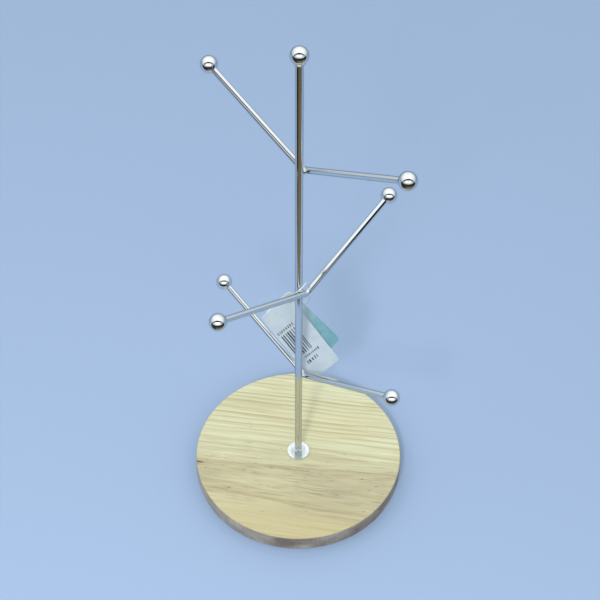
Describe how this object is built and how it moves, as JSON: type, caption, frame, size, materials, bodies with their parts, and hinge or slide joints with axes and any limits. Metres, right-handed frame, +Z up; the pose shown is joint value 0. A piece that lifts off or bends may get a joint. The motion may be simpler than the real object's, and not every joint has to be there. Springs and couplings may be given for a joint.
{
  "type": "mug tree",
  "caption": "Round wooden foot with a chromed upright rod; bent rods welded up its side carry ball-ended upswept arms for hanging mugs, and a retail tag hangs from a loop.",
  "frame": {"origin": "centre of the wooden foot's underside", "axes": "+Z up the stem, -Y towards the front, where the middle left arm and the lower right arm point, +X to the right"},
  "size_m": [0.17, 0.17, 0.419],
  "materials": {
    "pine": "planed pine, clear matt lacquer, end grain darker round the edge",
    "chrome": "bright mirror chrome plate",
    "zinc": "bright plated steel fastener",
    "weld": "chrome plated over a weld bead, slightly uneven",
    "white_card": "white card with plain dark bars",
    "teal_card": "teal card, satin",
    "nylon": "clear moulded nylon"
  },
  "bodies": {
    "stand": {"base_disc": "pine", "stem_rod": "chrome", "upper_washer": "zinc", "upper_nut": "zinc", "lower_washer": "zinc", "lower_nut": "zinc", "stem_ball": "chrome", "stem_ball_weld": "weld", "upper_arm_rod": "chrome", "upper_left_ball": "chrome", "upper_right_ball": "chrome", "upper_weld": "weld", "middle_arm_rod": "chrome", "middle_left_ball": "chrome", "middle_right_ball": "chrome", "middle_weld": "weld", "lower_arm_rod": "chrome", "lower_left_ball": "chrome", "lower_right_ball": "chrome", "lower_weld": "weld"},
    "tag_loop": {"tag_loop": "nylon", "tag_loop_lock": "nylon"},
    "tag_card": {"tag_card": "white_card"},
    "tag_backing_card": {"tag_backing_card": "teal_card"}
  },
  "joints": [
    {"name": "tag_loop_swing", "type": "hinge", "parent": "stand", "child": "tag_loop", "pos_m": [0.003, -0.003, 0.2125], "axis": [1, 0, 0], "range_deg": [0, 20]},
    {"name": "tag_card_swing", "type": "hinge", "parent": "tag_loop", "child": "tag_card", "pos_m": [-0.0075, 0.019, 0.1773], "axis": [0.4162, -0.8925, 0.1736], "range_deg": [0, 6]},
    {"name": "backing_card_swing", "type": "hinge", "parent": "tag_loop", "child": "tag_backing_card", "pos_m": [-0.0075, 0.019, 0.1773], "axis": [0.4162, -0.8925, 0.1736], "range_deg": [-5, 0]}
  ]
}
